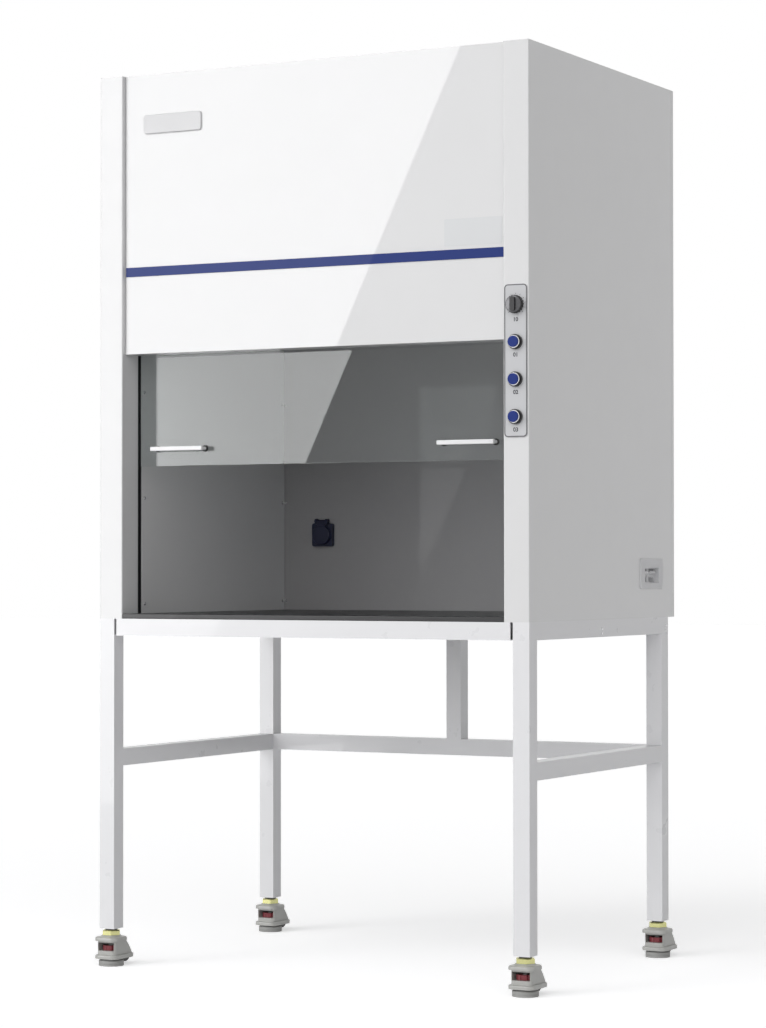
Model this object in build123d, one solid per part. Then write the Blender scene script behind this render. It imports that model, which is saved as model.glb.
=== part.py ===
from build123d import *
import math
import os

# A free-standing laboratory fume hood on a tube stand with levelling casters.
# Millimetres. +Z is up and the floor is at z = 0. The front faces -Y, and +X is
# the right-hand side for someone standing in front. X = 0 is the middle of the
# casing, and Y = 0 is half way between the knob's face and the back of the casing.

# Casing
HOOD_W = 1175.0
HOOD_D = 865.0
HOOD_H = 1342.0
SHEET = 1.5
FOLD_R = 2.5
POST_W = 65.0
JAMB_D = 73.0
REAR_WRAP = 15.0
SIDE_HEM = 25.0
ROOF_FLANGE = 25.0
FASCIA_RECESS = 12.0
FASCIA_H = 689.0
JAMB_HEM = 18.0
FASCIA_FOLD_R = 4.0
TRIM_H = 23.0
TRIM_T = 1.5
TRIM_ABOVE_EDGE = 191.0

# Stand
STAND_H = 858.0
STAND_TUBE = 42.0
TUBE_WALL = 2.0
REAR_OVERHANG = 43.0
MID_RAIL_TOP = 535.0
RAIL_REBATE_W = 6.5
RAIL_REBATE_D = 5.0
LEG_PLUG_T = 8.0
STEM_R = 6.0
FIT_GAP = 0.05

# Work surface and chamber lining
WORKTOP_T = 12.0
WORKTOP_EDGE_R = 2.0
LINER_T = 5.0
SERVICE_GAP = 65.0
CHAMBER_H = 730.0
CEILING_SETBACK = 112.0
EXHAUST_HOLE_W = 86.0
EXHAUST_HOLE_D = 220.0

# Sash, its guides and its handles
GLASS_T = 6.0
GLASS_SETBACK = 78.5
SASH_H = 690.0
SASH_OPENING = 365.5
GLASS_SIDE_GAP = 0.8
GUIDE_GAP = 0.5
GUIDE_W = 20.0
GUIDE_WEB = 3.0
GUIDE_REVEAL = 1.5
GUIDE_SPARE = 10.0
HANDLE_L = 148.0
HANDLE_INSET = 124.5
HANDLE_Z = 42.0
HANDLE_STAND = 25.0
HANDLE_BAR_H = 11.0
HANDLE_BAR_T = 9.0
HANDLE_LEG_R = 4.0
WASHER_R = 8.0
WASHER_T = 3.0
CLAMP_H = 22.0
CLAMP_T = 3.0
LUG_W = 16.0
LUG_DROP = 60.0
LUG_H = 35.0

# Counterbalance
CABLE_INSET = 12.5
CABLE_R = 1.5
CABLE_SETBACK = 98.0
PULLEY_PITCH_R = 27.5
PULLEY_W = 10.0
PULLEY_FLANGE = 3.5
PULLEY_BELOW_ROOF = 48.5
PIN_R = 5.0
BRACKET_T = 4.0
BRACKET_W = 44.0
BRACKET_GAP = 2.0
WEIGHT_W = 36.0
WEIGHT_D = 50.0
WEIGHT_H = 418.0
WEIGHT_TOP_H = 850.0

# Lamp above the ceiling lining
LAMP_END_GAP = 72.5
LAMP_D = 110.0
LAMP_H = 60.0
LAMP_FROM_FRONT = 190.0
DIFFUSER_T = 4.0
LAMP_TUBE_R = 13.0

# Blower: a four-centre scroll with its axis along X
SCROLL_W = 130.0
SCROLL_R = 135.0
SCROLL_STEP = 30.0
SCROLL_TONGUE_DEG = 60.0
SCROLL_WALL = 2.0
SCROLL_RISE = 250.0
SCROLL_FOOT = 20.0
EYE_R = 88.0
EYE_LIP = 10.0
SHAFT_R = 7.0
WHEEL_R = 104.0
WHEEL_W = 92.0
WHEEL_PLATE = 2.0
WHEEL_HUB_R = 20.0
BLADES = 24
BLADE_T = 2.0
BLADE_DEPTH = 20.0
SUCTION_W = 110.0
SUCTION_D = 244.0
SUCTION_RISE = 125.0
MOTOR_R = 62.0
MOTOR_L = 130.0
MOTOR_FLANGE_R = 80.0
MOTOR_FLANGE_T = 4.0

# Duct spigot on the roof
SPIGOT_R = 125.0
SPIGOT_WALL = 2.0
SPIGOT_JOGGLE = 4.0
SPIGOT_H = 55.0
SPIGOT_FLANGE_R = 150.0
SPIGOT_SKIRT = 18.0

# Controls on the right-hand post
PLATE_W = 58.0
PLATE_H = 352.0
PLATE_T = 2.5
PLATE_CORNER_R = 9.0
PLATE_Z = 602.0
CONTROL_PITCH = 86.3
BARREL_R = 11.0
BARREL_L = 34.0
KNOB_R = 21.0
KNOB_H = 14.0
KNOB_GRIP_W = 12.0
KNOB_GRIP_H = 7.0
COLLAR_R = 17.5
COLLAR_NECK_R = 15.0
COLLAR_H = 14.0
BUTTON_R = 13.0
BUTTON_PROUD = 3.5
BUTTON_TRAVEL = 3.0
CONTACT_BLOCK = 28.0

# Isolator low on the right-hand side
ISOLATOR_W = 142.0
ISOLATOR_H = 77.0
ISOLATOR_PROUD = 3.0
ISOLATOR_FROM_BACK = 153.0
ISOLATOR_Z = 110.0
ISOLATOR_DEPTH = 48.0
ISOLATOR_RIM = 6.0
WINDOW_W = 87.0
WINDOW_H = 38.0
WINDOW_DROP = 4.5
WINDOW_DEPTH = 12.0
TOGGLE_W = 30.0
TOGGLE_T = 7.0
TOGGLE_L = 16.0
TOGGLE_PIN_R = 3.0
TOGGLE_THROW = 35.0

# Covered socket on the rear lining
SOCKET_INSET = 124.0
SOCKET_Z = 201.0
SOCKET_W = 62.0
SOCKET_T = 12.0
SOCKET_LID_R = 26.5
SOCKET_LID_T = 9.0
SOCKET_WELL_R = 21.0
LID_HINGE_UP = 37.0
LID_PIN_R = 3.0
LID_GAP = 0.3

# Levelling casters
CASTER_H = 92.0
LOCKNUT_R = 15.0
LOCKNUT_H = 4.0
HEX_FLATS = 42.0
HEX_H = 12.0
SWIVEL_GAP = 0.3
CASTER_W = 54.0
CASTER_FRONT = 27.0
CASTER_BACK = 52.0
CASTER_CROWN_BACK = 24.0
FLANGE_OUT = 7.0
CROWN_BOTTOM = 62.0
CROWN_T = 10.0
CASTER_SLOPE = 15.0
KINGPIN_L = 9.0
SKIRT_BOTTOM = 18.0
SKIRT_T = 10.0
SLOT_BOTTOM = 38.0
SLOT_TOP = 58.0
SLOT_W = 46.0
THUMB_R = 21.0
THUMB_H = 12.0
SPINDLE_R = 6.0
SPINDLE_ABOVE = 2.0
PAD_R = 31.0
PAD_H = 15.0
PAD_TRAVEL = 8.0
CASTER_WHEEL_R = 20.0
CASTER_WHEEL_W = 19.0
CASTER_WHEEL_LIFT = 4.0
CASTER_TRAIL = 53.5
WHEEL_SIDE_GAP = 1.0
AXLE_R = 3.5

# Places worked out from the sizes above
CONTROL_PROUD = PLATE_T + KNOB_H + KNOB_GRIP_H
HALF_W = HOOD_W / 2
FRONT = (CONTROL_PROUD - HOOD_D) / 2
BACK = FRONT + HOOD_D
REAR_SEAM = BACK - REAR_WRAP
BASE = STAND_H
TOP = BASE + HOOD_H
JAMB_X = HALF_W - POST_W
WORKTOP_TOP = BASE + WORKTOP_T
CEILING = WORKTOP_TOP + CHAMBER_H
FASCIA_FRONT = FRONT + FASCIA_RECESS
FASCIA_BOTTOM = TOP - FASCIA_H
GLASS_FRONT = FRONT + GLASS_SETBACK
SASH_BOTTOM = WORKTOP_TOP + SASH_OPENING
SASH_TOP = SASH_BOTTOM + SASH_H
GUIDE_X = JAMB_X + GUIDE_REVEAL
HANDLE_X = JAMB_X - HANDLE_INSET
GLASS_HALF_W = GUIDE_X + GUIDE_W - GUIDE_WEB - GLASS_SIDE_GAP
GUIDE_BACK = GLASS_FRONT + GLASS_T + GLASS_SETBACK - JAMB_D
REAR_LINER_Y = BACK - SERVICE_GAP
CABLE_X = JAMB_X - CABLE_INSET
CABLE_Y = FRONT + CABLE_SETBACK
SOCKET_X = SOCKET_INSET - JAMB_X
PULLEY_X = CABLE_X + PULLEY_PITCH_R
PULLEY_Z = TOP - SHEET - PULLEY_BELOW_ROOF
WEIGHT_X = CABLE_X + 2 * PULLEY_PITCH_R
LEG_X = HALF_W - STAND_TUBE / 2
LEG_FRONT_Y = FRONT + STAND_TUBE / 2
LEG_REAR_Y = BACK - REAR_OVERHANG - STAND_TUBE / 2
CONTROL_X = HALF_W - POST_W / 2
SPIGOT_Y = (FRONT + BACK) / 2
NECK_R = SPIGOT_R - SPIGOT_JOGGLE
SCROLL_BOTTOM = SCROLL_R + SCROLL_STEP * 1.5
SCROLL_OUTER = SCROLL_R + SCROLL_STEP * 2.5
TONGUE_Y = SCROLL_R * math.cos(math.radians(SCROLL_TONGUE_DEG)) - SCROLL_STEP / 2
BLOWER_Y = SPIGOT_Y + (SCROLL_OUTER + TONGUE_Y) / 2
BLOWER_Z = CEILING + LINER_T + SCROLL_FOOT + SCROLL_BOTTOM
OUTLET_D = SCROLL_OUTER - TONGUE_Y
ISOLATOR_Y = BACK - ISOLATOR_FROM_BACK
NUT_BOTTOM = CASTER_H - LOCKNUT_H - HEX_H


def block(x, y, z):
    """A box between a low and a high value on each axis."""
    size = (x[1] - x[0], y[1] - y[0], z[1] - z[0])
    return Pos((x[0] + x[1]) / 2, (y[0] + y[1]) / 2, (z[0] + z[1]) / 2) * Box(*size)


def rod_x(radius, x, y, z):
    """A round bar along X, from x[0] to x[1]."""
    return Pos((x[0] + x[1]) / 2, y, z) * Rot(0, 90, 0) * Cylinder(radius, x[1] - x[0])


def rod_y(radius, x, y, z):
    """A round bar along Y, from y[0] to y[1]."""
    return Pos(x, (y[0] + y[1]) / 2, z) * Rot(90, 0, 0) * Cylinder(radius, y[1] - y[0])


def rod_z(radius, x, y, z):
    """A round bar along Z, from z[0] to z[1]."""
    return Pos(x, y, (z[0] + z[1]) / 2) * Cylinder(radius, z[1] - z[0])


def group(*shapes):
    """Separate solids that share one node."""
    solids = []
    for shape in shapes:
        solids.extend(shape.solids())
    return Compound(solids)


def folded(points, z, radius=FOLD_R):
    """Upright sheet metal folded along a plan path, its thickness on the path's left."""
    path = Wire(FilletPolyline(*points, radius=radius).edges())
    outline = path.offset_2d(SHEET, kind=Kind.INTERSECTION, side=Side.LEFT, closed=True)
    return Pos(0, 0, z[0]) * extrude(Face(outline), z[1] - z[0])


def mirrored(shape):
    """The left-hand twin of a right-hand piece."""
    return mirror(shape, about=Plane.YZ)


def rounded_plate(width, height, thickness, corner_r):
    """A plate in the XZ plane, from y = 0 towards -Y, with round corners."""
    return extrude(Plane.XZ * RectangleRounded(width, height, corner_r), thickness)


# Casing


def side_panel():
    """The right-hand skin, folded round into the front post, its jamb and a rear hem."""
    points = (
        (JAMB_X + JAMB_HEM, FRONT + JAMB_D),
        (JAMB_X, FRONT + JAMB_D),
        (JAMB_X, FRONT),
        (HALF_W, FRONT),
        (HALF_W, REAR_SEAM),
        (HALF_W - SIDE_HEM, REAR_SEAM),
    )
    return folded(points, (BASE, TOP - SHEET))


def right_side_panel():
    """The right-hand skin with its holes for the controls and the isolator."""
    panel = side_panel()
    for z in control_heights():
        panel -= rod_y(BARREL_R + FIT_GAP, CONTROL_X, (FRONT - SHEET, FRONT + 2 * SHEET), z)
    inset = 2 * ISOLATOR_RIM
    panel -= block(
        (HALF_W - 2 * SHEET, HALF_W + SHEET),
        (ISOLATOR_Y - (ISOLATOR_W - inset) / 2, ISOLATOR_Y + (ISOLATOR_W - inset) / 2),
        (isolator_z() - (ISOLATOR_H - inset) / 2, isolator_z() + (ISOLATOR_H - inset) / 2),
    )
    return panel


def rear_panel():
    """The back sheet, wrapped a little way round both sides."""
    points = (
        (HALF_W - SIDE_HEM, REAR_SEAM),
        (HALF_W, REAR_SEAM),
        (HALF_W, BACK),
        (-HALF_W, BACK),
        (-HALF_W, REAR_SEAM),
        (SIDE_HEM - HALF_W, REAR_SEAM),
    )
    return folded(points, (BASE, TOP - SHEET))


def roof_panel():
    """The top sheet, with side flanges inside the skins and a hole for the duct spigot."""
    roof = block((-HALF_W, HALF_W), (FRONT, BACK), (TOP - SHEET, TOP))
    roof = fillet(roof.edges().filter_by(Axis.Z), FOLD_R)
    roof -= block((-JAMB_X, JAMB_X), (FRONT - 1, FASCIA_FRONT), (TOP - 2 * SHEET, TOP + 1))
    half = HALF_W - SHEET
    for side in (-1, 1):
        flange = sorted((side * half, side * (half - SHEET)))
        run = (FRONT + JAMB_D, REAR_SEAM - 2 * SHEET)
        roof += block(flange, run, (TOP - ROOF_FLANGE, TOP - SHEET))
    return roof - rod_z(NECK_R + 1, 0, SPIGOT_Y, (TOP - 2 * SHEET, TOP + 1))


def front_fascia():
    """The tall front cover between the posts, with folded sides and a bottom lip."""
    deep = FRONT + JAMB_D
    points = ((-JAMB_X, deep), (-JAMB_X, FASCIA_FRONT), (JAMB_X, FASCIA_FRONT), (JAMB_X, deep))
    cover = folded(points, (FASCIA_BOTTOM, TOP - SHEET), FASCIA_FOLD_R)
    inner = JAMB_X - FASCIA_FOLD_R
    lip = block((-inner, inner), (FASCIA_FRONT + SHEET / 2, GLASS_FRONT - CLAMP_T - 1),
                (FASCIA_BOTTOM, FASCIA_BOTTOM + SHEET))
    return cover + lip


def blue_trim_strip():
    """The coloured strip laid across the fascia."""
    half = JAMB_X - FASCIA_FOLD_R
    low = FASCIA_BOTTOM + TRIM_ABOVE_EDGE
    return block((-half, half), (FASCIA_FRONT - TRIM_T, FASCIA_FRONT), (low, low + TRIM_H))


# Work surface and lining


def work_surface():
    """A dark slab that fills the casing and narrows to pass between the posts."""
    wide = HALF_W - SHEET - FOLD_R
    slab = block((-wide, wide), (FRONT + JAMB_D, REAR_SEAM - SHEET), (BASE, WORKTOP_TOP))
    slab += block((-JAMB_X, JAMB_X), (FRONT, FRONT + JAMB_D), (BASE, WORKTOP_TOP))
    front_edges = slab.edges().filter_by(Axis.X).group_by(Axis.Y)[0]
    return fillet(front_edges, WORKTOP_EDGE_R)


def side_liner():
    """The right-hand wall of the chamber."""
    return block((JAMB_X, JAMB_X + LINER_T), (GUIDE_BACK, REAR_LINER_Y), (WORKTOP_TOP, CEILING))


def rear_liner():
    """The chamber's rear wall, holed for the socket's wiring box."""
    half = JAMB_X + LINER_T
    wall = block((-half, half), (REAR_LINER_Y, REAR_LINER_Y + LINER_T), (WORKTOP_TOP, CEILING))
    hole = block((SOCKET_X - SOCKET_W / 4, SOCKET_X + SOCKET_W / 4),
                 (REAR_LINER_Y - LINER_T, REAR_LINER_Y + 2 * LINER_T),
                 (socket_z() - SOCKET_W / 4, socket_z() + SOCKET_W / 4))
    return wall - hole


def ceiling_liner():
    """The chamber's top, with a stiffening upstand, a lamp opening and the exhaust hole."""
    half = JAMB_X + LINER_T
    y = (FRONT + CEILING_SETBACK, REAR_LINER_Y + LINER_T)
    top = block((-half, half), y, (CEILING, CEILING + LINER_T))
    top += block((-half, half), (y[0], y[0] + LINER_T), (CEILING, CEILING + ROOF_FLANGE))
    top -= block(lamp_span_x(), lamp_span_y(), (CEILING - 1, CEILING + 2 * LINER_T))
    middle = -(SCROLL_W + SUCTION_W) / 2
    top -= block((middle - EXHAUST_HOLE_W / 2, middle + EXHAUST_HOLE_W / 2),
                 (BLOWER_Y - EXHAUST_HOLE_D / 2, BLOWER_Y + EXHAUST_HOLE_D / 2),
                 (CEILING - 1, CEILING + 2 * LINER_T))
    return top


# Sash and guides


def sash_guides():
    """The two slotted plastic uprights that hold the edges of the glass."""
    x = (GUIDE_X, GUIDE_X + GUIDE_W)
    z = (WORKTOP_TOP, TOP - SHEET - GUIDE_SPARE)
    guide = block(x, (FRONT + JAMB_D, GUIDE_BACK), z)
    guide -= block((x[0] - 1, x[1] - GUIDE_WEB),
                   (GLASS_FRONT - GUIDE_GAP, GLASS_FRONT + GLASS_T + GUIDE_GAP),
                   (z[0] - 1, z[1] + 1))
    return group(guide, mirrored(guide))


def sash_glass():
    """The frameless toughened pane."""
    pane = block((-GLASS_HALF_W, GLASS_HALF_W), (GLASS_FRONT, GLASS_FRONT + GLASS_T),
                 (SASH_BOTTOM, SASH_TOP))
    return fillet(pane.edges().filter_by(Axis.X), GLASS_T / 6)


def handle(middle_x):
    """One pull: a bar on two legs, each leg on a dark washer."""
    z = SASH_BOTTOM + HANDLE_Z
    near = GLASS_FRONT - HANDLE_STAND
    ends = (middle_x - HANDLE_L / 2, middle_x + HANDLE_L / 2)
    bar = block(ends, (near - HANDLE_BAR_T / 2, near + HANDLE_BAR_T / 2),
                (z - HANDLE_BAR_H / 2, z + HANDLE_BAR_H / 2))
    bar = fillet(bar.edges().filter_by(Axis.X), HANDLE_BAR_T / 4)
    washers = []
    for x in (ends[0] + HANDLE_LEG_R * 1.5, ends[1] - HANDLE_LEG_R * 1.5):
        bar += rod_y(HANDLE_LEG_R, x, (near, GLASS_FRONT - WASHER_T), z)
        washers.append(rod_y(WASHER_R, x, (GLASS_FRONT - WASHER_T, GLASS_FRONT), z))
    return [bar] + washers


def sash_handles():
    """Both pulls."""
    return group(*handle(-HANDLE_X), *handle(HANDLE_X))


def sash_clamp_rail():
    """The rail over the top edge of the glass, with a cable lug at each end."""
    half = CABLE_X + LUG_W / 2
    rail = block((-half, half), (GLASS_FRONT - CLAMP_T, GLASS_FRONT + GLASS_T + CLAMP_T),
                 (SASH_TOP - CLAMP_H, SASH_TOP + CLAMP_T))
    rail -= block((-half - 1, half + 1), (GLASS_FRONT, GLASS_FRONT + GLASS_T),
                  (SASH_TOP - CLAMP_H - 1, SASH_TOP))
    x = (half - LUG_W, half)
    bottom = SASH_TOP - LUG_DROP - LUG_H
    behind = GLASS_FRONT + GLASS_T
    strap = block(x, (behind, behind + CLAMP_T), (bottom, SASH_TOP))
    lug = block(x, (behind, CABLE_Y + 3 * CABLE_R), (bottom, SASH_TOP - LUG_DROP))
    ear = strap + lug
    return rail + ear + mirrored(ear)


# Counterbalance


def sash_pulley():
    """A grooved cable pulley that turns about Y."""
    outer = PULLEY_PITCH_R + PULLEY_FLANGE
    wheel = rod_y(outer, PULLEY_X, (CABLE_Y - PULLEY_W / 2, CABLE_Y + PULLEY_W / 2), PULLEY_Z)
    groove = Pos(PULLEY_X, CABLE_Y, PULLEY_Z) * Rot(90, 0, 0) * Torus(PULLEY_PITCH_R, CABLE_R * 1.2)
    rim = rod_y(outer + 1, PULLEY_X, (CABLE_Y - CABLE_R, CABLE_Y + CABLE_R), PULLEY_Z)
    rim -= rod_y(PULLEY_PITCH_R, PULLEY_X, (CABLE_Y - PULLEY_W, CABLE_Y + PULLEY_W), PULLEY_Z)
    bore = rod_y(PIN_R + FIT_GAP, PULLEY_X, (CABLE_Y - PULLEY_W, CABLE_Y + PULLEY_W), PULLEY_Z)
    return wheel - groove - rim - bore


def pulley_bracket():
    """A hanger under the roof with the pulley's pin and its end washer."""
    y = CABLE_Y + PULLEY_W / 2 + BRACKET_GAP
    x = (PULLEY_X - BRACKET_W / 2, PULLEY_X + BRACKET_W / 2)
    top = TOP - SHEET
    hanger = block(x, (y, y + BRACKET_T), (PULLEY_Z - 2 * PIN_R, top))
    hanger += block(x, (y, y + BRACKET_W), (top - BRACKET_T, top))
    cap = (CABLE_Y - PULLEY_W / 2 - BRACKET_GAP, CABLE_Y - PULLEY_W / 2 - SWIVEL_GAP)
    hanger += rod_y(PIN_R, PULLEY_X, (cap[0], y + 1), PULLEY_Z)
    hanger += rod_y(PIN_R * 1.4, PULLEY_X, cap, PULLEY_Z)
    return hanger


def counterweights():
    """The steel bars that hang inside the posts and balance the sash."""
    top = WORKTOP_TOP + WEIGHT_TOP_H
    bar = block((WEIGHT_X - WEIGHT_W / 2, WEIGHT_X + WEIGHT_W / 2),
                (CABLE_Y - WEIGHT_D / 2, CABLE_Y + WEIGHT_D / 2), (top - WEIGHT_H, top))
    return group(bar, mirrored(bar))


def sash_side_cables():
    """The cable runs from the sash's lugs up to the pulleys."""
    run = rod_z(CABLE_R, CABLE_X, CABLE_Y, (SASH_TOP - LUG_DROP, PULLEY_Z))
    return group(run, mirrored(run))


def weight_side_cables():
    """The cable runs from the pulleys down to the counterweights."""
    top = WORKTOP_TOP + WEIGHT_TOP_H
    run = rod_z(CABLE_R, WEIGHT_X, CABLE_Y, (top, PULLEY_Z))
    return group(run, mirrored(run))


# Lamp


def lamp_span_x():
    """The lamp opening's ends."""
    half = JAMB_X - LAMP_END_GAP
    return (-half, half)


def lamp_span_y():
    """The lamp opening's front and back."""
    middle = FRONT + LAMP_FROM_FRONT
    return (middle - LAMP_D / 2, middle + LAMP_D / 2)


def lamp():
    """A reflector tray over the ceiling opening, its tube and the diffuser below."""
    x = lamp_span_x()
    y = lamp_span_y()
    floor = CEILING + LINER_T
    tray = block((x[0] - LINER_T, x[1] + LINER_T), (y[0] - LINER_T, y[1] + LINER_T),
                 (floor, floor + LAMP_H))
    tray -= block((x[0] - LINER_T + SHEET, x[1] + LINER_T - SHEET),
                  (y[0] - LINER_T + SHEET, y[1] + LINER_T - SHEET),
                  (floor - 1, floor + LAMP_H - SHEET))
    middle = (y[0] + y[1]) / 2
    tube_z = floor + LAMP_H - SHEET - LAMP_TUBE_R
    tube = rod_x(LAMP_TUBE_R, (x[0] - LINER_T + SHEET, x[1] + LINER_T - SHEET), middle, tube_z)
    diffuser = block(x, y, (floor - DIFFUSER_T, floor))
    lip = block((x[0] - LINER_T + SHEET, x[1] + LINER_T - SHEET),
                (y[0] - LINER_T + SHEET, y[1] + LINER_T - SHEET), (floor, floor + SHEET))
    return group(tray, tube, diffuser + lip)


# Blower


def scroll_profile(wall):
    """The scroll's outline in (y, z) about the wheel's axis, drawn in by a wall."""
    half = SCROLL_STEP / 2
    tongue_x = TONGUE_Y + wall
    tongue_deg = math.degrees(math.acos((tongue_x + half) / (SCROLL_R - wall)))
    centres = ((-half, -half), (half, -half), (half, half))
    radii = [SCROLL_R + SCROLL_STEP * turn - wall for turn in range(3)]
    starts = (tongue_deg, 180, 270)
    ends = (180, 270, 360)
    edges = []
    for centre, radius, start, end in zip(centres, radii, starts, ends):
        edges.append(CenterArc(centre, radius, start, end - start))
    tongue = edges[0] @ 0
    corner = edges[-1] @ 1
    edges.append(Line(corner, (corner.X, SCROLL_RISE)))
    edges.append(Line((corner.X, SCROLL_RISE), (tongue.X, SCROLL_RISE)))
    edges.append(Line((tongue.X, SCROLL_RISE), tongue))
    return make_face(edges)


def scroll_solid(wall):
    """The scroll's outline spread along X, drawn in by a wall all round."""
    width = SCROLL_W - 2 * wall
    plane = Plane(origin=(-width / 2, BLOWER_Y, BLOWER_Z), x_dir=(0, -1, 0), z_dir=(-1, 0, 0))
    return extrude(plane * scroll_profile(wall), -width)


def blower_scroll():
    """The folded scroll casing, open at its eye and at the top, on two feet."""
    shell = scroll_solid(0) - scroll_solid(SCROLL_WALL)
    half = SCROLL_W / 2
    shell -= block((-half + SCROLL_WALL, half - SCROLL_WALL),
                   (SPIGOT_Y - OUTLET_D / 2 + SCROLL_WALL, SPIGOT_Y + OUTLET_D / 2 - SCROLL_WALL),
                   (BLOWER_Z + SCROLL_RISE - 2 * SCROLL_WALL, BLOWER_Z + SCROLL_RISE + 1))
    eye = (-half - 1, -half + EYE_LIP)
    shell += rod_x(EYE_R + SCROLL_WALL, (-half, eye[1]), BLOWER_Y, BLOWER_Z)
    shell -= rod_x(EYE_R, eye, BLOWER_Y, BLOWER_Z)
    shell -= rod_x(SHAFT_R * 2, (0, half + 1), BLOWER_Y, BLOWER_Z)
    floor = CEILING + LINER_T
    for y in (BLOWER_Y - SCROLL_R / 2, BLOWER_Y + SCROLL_R / 2):
        for x in ((-half, -half + SCROLL_WALL), (half - SCROLL_WALL, half)):
            shell += block(x, (y - SCROLL_FOOT, y + SCROLL_FOOT),
                           (floor, BLOWER_Z - SCROLL_R + SCROLL_STEP))
    return shell


def suction_box():
    """A sheet box that carries the air from the ceiling hole up to the blower's eye."""
    x = (-SCROLL_W / 2 - SUCTION_W, -SCROLL_W / 2)
    y = (BLOWER_Y - SUCTION_D / 2, BLOWER_Y + SUCTION_D / 2)
    z = (CEILING + LINER_T, BLOWER_Z + SUCTION_RISE)
    box = block(x, y, z)
    inside = block((x[0] + SHEET, x[1] + 1), (y[0] + SHEET, y[1] - SHEET), (z[0] - 1, z[1] - SHEET))
    return box - inside


def blower_motor():
    """The motor, flanged to the scroll's right-hand wall, bored for its shaft."""
    start = SCROLL_W / 2
    body = rod_x(MOTOR_R, (start, start + MOTOR_L), BLOWER_Y, BLOWER_Z)
    body = chamfer(body.edges().group_by(Axis.X)[-1], MOTOR_R / 8)
    body += rod_x(MOTOR_FLANGE_R, (start, start + MOTOR_FLANGE_T), BLOWER_Y, BLOWER_Z)
    for turn in range(0, 360, 30):
        angle = math.radians(turn)
        y = BLOWER_Y + MOTOR_R * math.cos(angle)
        z = BLOWER_Z + MOTOR_R * math.sin(angle)
        body += rod_x(3 * SHEET, (start, start + MOTOR_L - MOTOR_R / 4), y, z)
    return body - rod_x(SHAFT_R + FIT_GAP, (start - 1, start + MOTOR_L / 2), BLOWER_Y, BLOWER_Z)


def blower_wheel():
    """A forward-curved wheel: a back plate, a shroud ring, blades, a hub and a shaft."""
    back = WHEEL_W / 2
    front = -WHEEL_W / 2
    wheel = rod_x(WHEEL_R, (back - WHEEL_PLATE, back), BLOWER_Y, BLOWER_Z)
    ring = rod_x(WHEEL_R, (front, front + WHEEL_PLATE), BLOWER_Y, BLOWER_Z)
    ring -= rod_x(WHEEL_R - BLADE_DEPTH, (front - 1, front + 3), BLOWER_Y, BLOWER_Z)
    wheel += ring
    wheel += rod_x(WHEEL_HUB_R, (back - 3 * WHEEL_HUB_R / 2, back), BLOWER_Y, BLOWER_Z)
    wheel += rod_x(SHAFT_R, (back - WHEEL_HUB_R, SCROLL_W / 2 + MOTOR_L / 2 - 1), BLOWER_Y, BLOWER_Z)
    middle = WHEEL_R - BLADE_DEPTH / 2
    arc = ThreePointArc((middle - BLADE_DEPTH / 2, 0), (middle, BLADE_DEPTH / 5),
                        (middle + BLADE_DEPTH / 2 - BLADE_T / 2, 0))
    blade_face = trace(arc, BLADE_T)
    blade = extrude(Plane.YZ * blade_face, WHEEL_W - WHEEL_PLATE)
    for number in range(BLADES):
        turned = Rot(number * 360 / BLADES, 0, 0) * blade
        wheel += Pos(front + WHEEL_PLATE / 2, BLOWER_Y, BLOWER_Z) * turned
    return wheel


# Duct spigot


def exhaust_spigot():
    """A collar flanged to the roof, with a narrower neck that drops into a square-to-round hopper."""
    low = TOP - SHEET - SPIGOT_SKIRT
    shoulder = TOP + SPIGOT_WALL
    mouth = BLOWER_Z + SCROLL_RISE
    neck_bore = NECK_R - SPIGOT_WALL
    collar = rod_z(SPIGOT_R, 0, SPIGOT_Y, (TOP, TOP + SPIGOT_H))
    collar += rod_z(SPIGOT_FLANGE_R, 0, SPIGOT_Y, (TOP, shoulder))
    collar += rod_z(NECK_R, 0, SPIGOT_Y, (low, shoulder))
    collar -= rod_z(SPIGOT_R - SPIGOT_WALL, 0, SPIGOT_Y, (shoulder, TOP + SPIGOT_H + 1))
    hole = rod_z(neck_bore, 0, SPIGOT_Y, (low - 1, shoulder + 1))
    outer = hopper(SCROLL_W, OUTLET_D, NECK_R, mouth, low)
    inner = hopper(SCROLL_W - 2 * SCROLL_WALL, OUTLET_D - 2 * SCROLL_WALL, neck_bore, mouth, low)
    return (collar + outer) - inner - hole


def hopper(width, depth, radius, low, high):
    """A solid that changes from a rectangle to a circle."""
    foot = Pos(0, SPIGOT_Y, low) * Rectangle(width, depth)
    head = Pos(0, SPIGOT_Y, high) * Circle(radius)
    return loft([foot, head])


# Controls


def control_heights():
    """The knob's height and then the three buttons' heights."""
    return [BASE + PLATE_Z + (1.5 - place) * CONTROL_PITCH for place in range(4)]


def control_plate():
    """The facing plate on the right-hand post, holed for each control."""
    plate = Pos(CONTROL_X, FRONT, BASE + PLATE_Z) * rounded_plate(PLATE_W, PLATE_H, PLATE_T, PLATE_CORNER_R)
    for z in control_heights():
        plate -= rod_y(BARREL_R + FIT_GAP, CONTROL_X, (FRONT - PLATE_T - 1, FRONT + 1), z)
    return plate


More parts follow.
